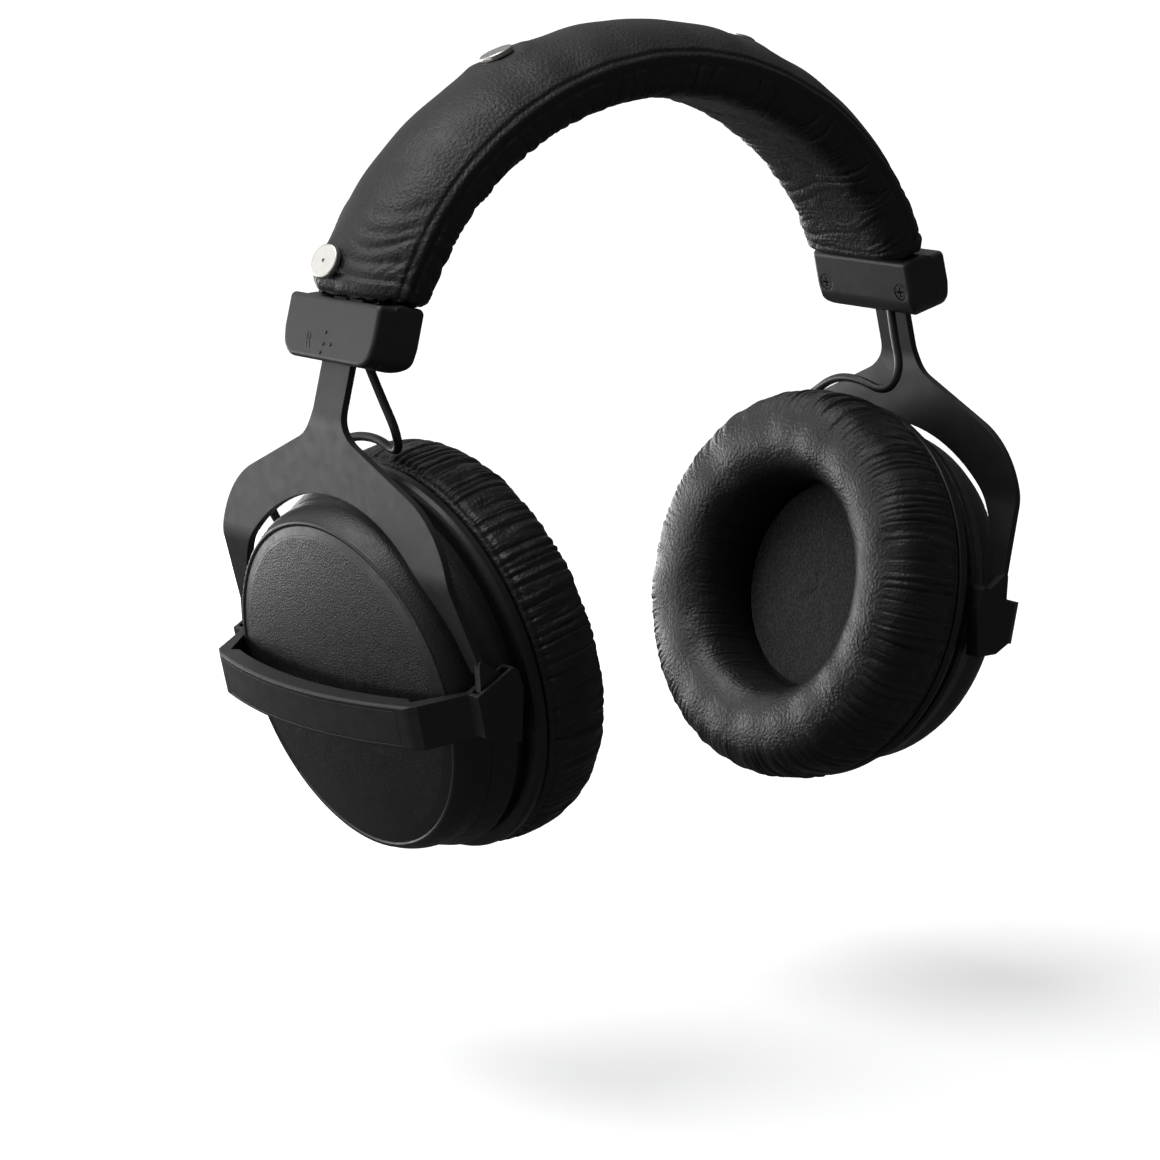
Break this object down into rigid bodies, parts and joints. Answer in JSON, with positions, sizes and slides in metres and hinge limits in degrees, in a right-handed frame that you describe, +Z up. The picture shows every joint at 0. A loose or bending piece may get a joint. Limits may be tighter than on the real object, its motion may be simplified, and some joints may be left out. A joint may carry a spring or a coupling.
{
  "type": "over-ear headphones",
  "caption": "Closed-back over-ear headphones: padded leatherette headband, sliding steel yokes and tilting round cups with thick ear pads.",
  "frame": {"origin": "the middle of the headband's underside, where the pair rests on a head or a stand", "axes": "X across the head with the wearer's right cup at -X, the wearer faces -Y, +Z up"},
  "size_m": [0.2074, 0.1012, 0.2013],
  "materials": {
    "leatherette": "satin, fine grain",
    "foam": "matte, open-cell foam",
    "spring_steel": "satin",
    "nickel": "polished nickel",
    "cable": "satin",
    "slider_plastic": "satin",
    "yoke_steel": "matte powder coat",
    "dark_steel": "blackened",
    "strap_plastic": "matte",
    "plate_plastic": "satin",
    "cup_plastic": "fine grain",
    "ring_plastic": "satin",
    "inner_plastic": "matte",
    "magnet_metal": "zinc plated",
    "membrane": "clear film",
    "copper": "lacquered wire",
    "felt": "matte felt",
    "board": "solder mask"
  },
  "bodies": {
    "headband": {"spring_band": "spring_steel", "headband_cover": "leatherette", "headband_foam": "foam", "snap_caps": "nickel", "snap_sockets": "nickel", "crossover_lead": "cable", "slider_base_right": "slider_plastic", "slider_base_left": "slider_plastic", "slider_cover_right": "slider_plastic", "slider_cover_left": "slider_plastic", "slider_screws_right": "dark_steel", "slider_screws_left": "dark_steel", "detent_spring_right": "spring_steel", "detent_spring_left": "spring_steel"},
    "yoke_right": {"yoke_right": "yoke_steel", "pivot_pins_right": "dark_steel", "lead_right": "cable"},
    "cup_right": {"lead_grommet_right": "cable", "bracket_right": "strap_plastic", "bracket_screws_right": "dark_steel", "name_plate_right": "plate_plastic", "cup_cap_right": "cup_plastic", "cup_shell_right": "cup_plastic", "pad_ring_right": "ring_plastic", "baffle_right": "inner_plastic", "driver_grille_right": "inner_plastic", "driver_basket_right": "inner_plastic", "driver_magnet_right": "magnet_metal", "diaphragm_right": "membrane", "voice_coil_right": "copper", "damping_felt_right": "felt", "terminal_board_right": "board", "foam_disc_right": "foam", "ear_pad_right": "leatherette"},
    "yoke_left": {"yoke_left": "yoke_steel", "pivot_pins_left": "dark_steel", "lead_left": "cable"},
    "cup_left": {"lead_grommet_left": "cable", "bracket_left": "strap_plastic", "bracket_screws_left": "dark_steel", "name_plate_left": "plate_plastic", "cup_cap_left": "cup_plastic", "cup_shell_left": "cup_plastic", "pad_ring_left": "ring_plastic", "baffle_left": "inner_plastic", "driver_grille_left": "inner_plastic", "driver_basket_left": "inner_plastic", "driver_magnet_left": "magnet_metal", "diaphragm_left": "membrane", "voice_coil_left": "copper", "damping_felt_left": "felt", "terminal_board_left": "board", "foam_disc_left": "foam", "ear_pad_left": "leatherette", "cable_gland_left": "cable"}
  },
  "joints": [
    {"name": "slide_right", "type": "slide", "parent": "headband", "child": "yoke_right", "axis": [-0.2419, 0, -0.9703], "range_m": [-0.008, 0.016], "deforming": ["lead_right"]},
    {"name": "slide_left", "type": "slide", "parent": "headband", "child": "yoke_left", "axis": [0.2419, 0, -0.9703], "range_m": [-0.008, 0.016], "deforming": ["lead_left"]},
    {"name": "tilt_right", "type": "hinge", "parent": "yoke_right", "child": "cup_right", "pos_m": [-0.08018, 0, -0.13056], "axis": [0, 1, 0], "range_deg": [-5, 20]},
    {"name": "tilt_left", "type": "hinge", "parent": "yoke_left", "child": "cup_left", "pos_m": [0.08018, 0, -0.13056], "axis": [0, -1, 0], "range_deg": [-5, 20]}
  ]
}
